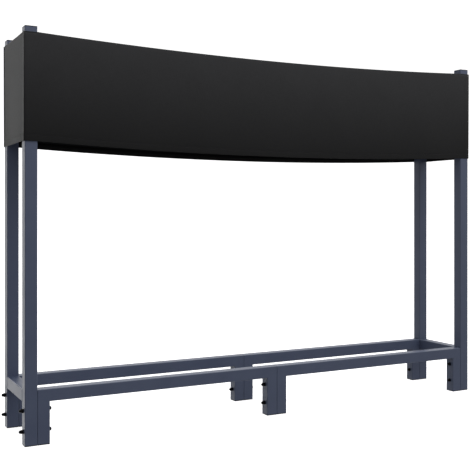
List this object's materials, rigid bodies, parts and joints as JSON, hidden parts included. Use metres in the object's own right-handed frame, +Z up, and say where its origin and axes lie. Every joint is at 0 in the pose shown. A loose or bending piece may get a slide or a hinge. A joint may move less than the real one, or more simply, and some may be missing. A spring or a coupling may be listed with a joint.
{
  "type": "firewood log rack",
  "caption": "Open steel log rack on doubled legs, with tall corner posts, low rails for the logs and a fabric rain cover that lifts off.",
  "frame": {"origin": "on the floor under the middle of the rack", "axes": "+X along the rack to the right end, +Y from front to back, +Z up"},
  "size_m": [2.1038, 0.342, 1.497],
  "materials": {
    "frame_paint": "fine-textured anthracite powder coat, satin",
    "foot_plastic": "black moulded polyethylene",
    "black_screws": "black zinc plated steel, satin",
    "cover_fabric": "black coated polyester canvas, plain weave, matt"
  },
  "bodies": {
    "frame": {"front_left_post": "frame_paint", "front_left_post_foot": "foot_plastic", "rear_left_post": "frame_paint", "rear_left_post_foot": "foot_plastic", "left_lower_crossbar": "frame_paint", "left_upper_crossbar": "frame_paint", "front_right_post": "frame_paint", "front_right_post_foot": "foot_plastic", "rear_right_post": "frame_paint", "rear_right_post_foot": "foot_plastic", "right_lower_crossbar": "frame_paint", "right_upper_crossbar": "frame_paint", "front_left_rail": "frame_paint", "front_left_outer_leg": "frame_paint", "front_left_outer_leg_foot": "foot_plastic", "front_left_inner_leg": "frame_paint", "front_left_inner_leg_foot": "foot_plastic", "front_right_rail": "frame_paint", "front_right_outer_leg": "frame_paint", "front_right_outer_leg_foot": "foot_plastic", "front_right_inner_leg": "frame_paint", "front_right_inner_leg_foot": "foot_plastic", "front_left_lower_screw": "black_screws", "front_left_lower_cap_nut": "black_screws", "front_left_upper_screw": "black_screws", "front_left_upper_cap_nut": "black_screws", "front_middle_lower_screw": "black_screws", "front_middle_lower_cap_nut": "black_screws", "front_middle_upper_screw": "black_screws", "front_middle_upper_cap_nut": "black_screws", "front_right_lower_screw": "black_screws", "front_right_lower_cap_nut": "black_screws", "front_right_upper_screw": "black_screws", "front_right_upper_cap_nut": "black_screws", "rear_left_rail": "frame_paint", "rear_left_outer_leg": "frame_paint", "rear_left_outer_leg_foot": "foot_plastic", "rear_left_inner_leg": "frame_paint", "rear_left_inner_leg_foot": "foot_plastic", "rear_right_rail": "frame_paint", "rear_right_outer_leg": "frame_paint", "rear_right_outer_leg_foot": "foot_plastic", "rear_right_inner_leg": "frame_paint", "rear_right_inner_leg_foot": "foot_plastic", "rear_left_lower_screw": "black_screws", "rear_left_lower_cap_nut": "black_screws", "rear_left_upper_screw": "black_screws", "rear_left_upper_cap_nut": "black_screws", "rear_middle_lower_screw": "black_screws", "rear_middle_lower_cap_nut": "black_screws", "rear_middle_upper_screw": "black_screws", "rear_middle_upper_cap_nut": "black_screws", "rear_right_lower_screw": "black_screws", "rear_right_lower_cap_nut": "black_screws", "rear_right_upper_screw": "black_screws", "rear_right_upper_cap_nut": "black_screws"},
    "cover": {"cover_main_panel": "cover_fabric", "cover_left_end": "cover_fabric", "cover_right_end": "cover_fabric"}
  },
  "joints": [
    {"name": "cover_lift", "type": "slide", "parent": "frame", "child": "cover", "axis": [0, 0, 1], "range_m": [0, 0.45]}
  ]
}
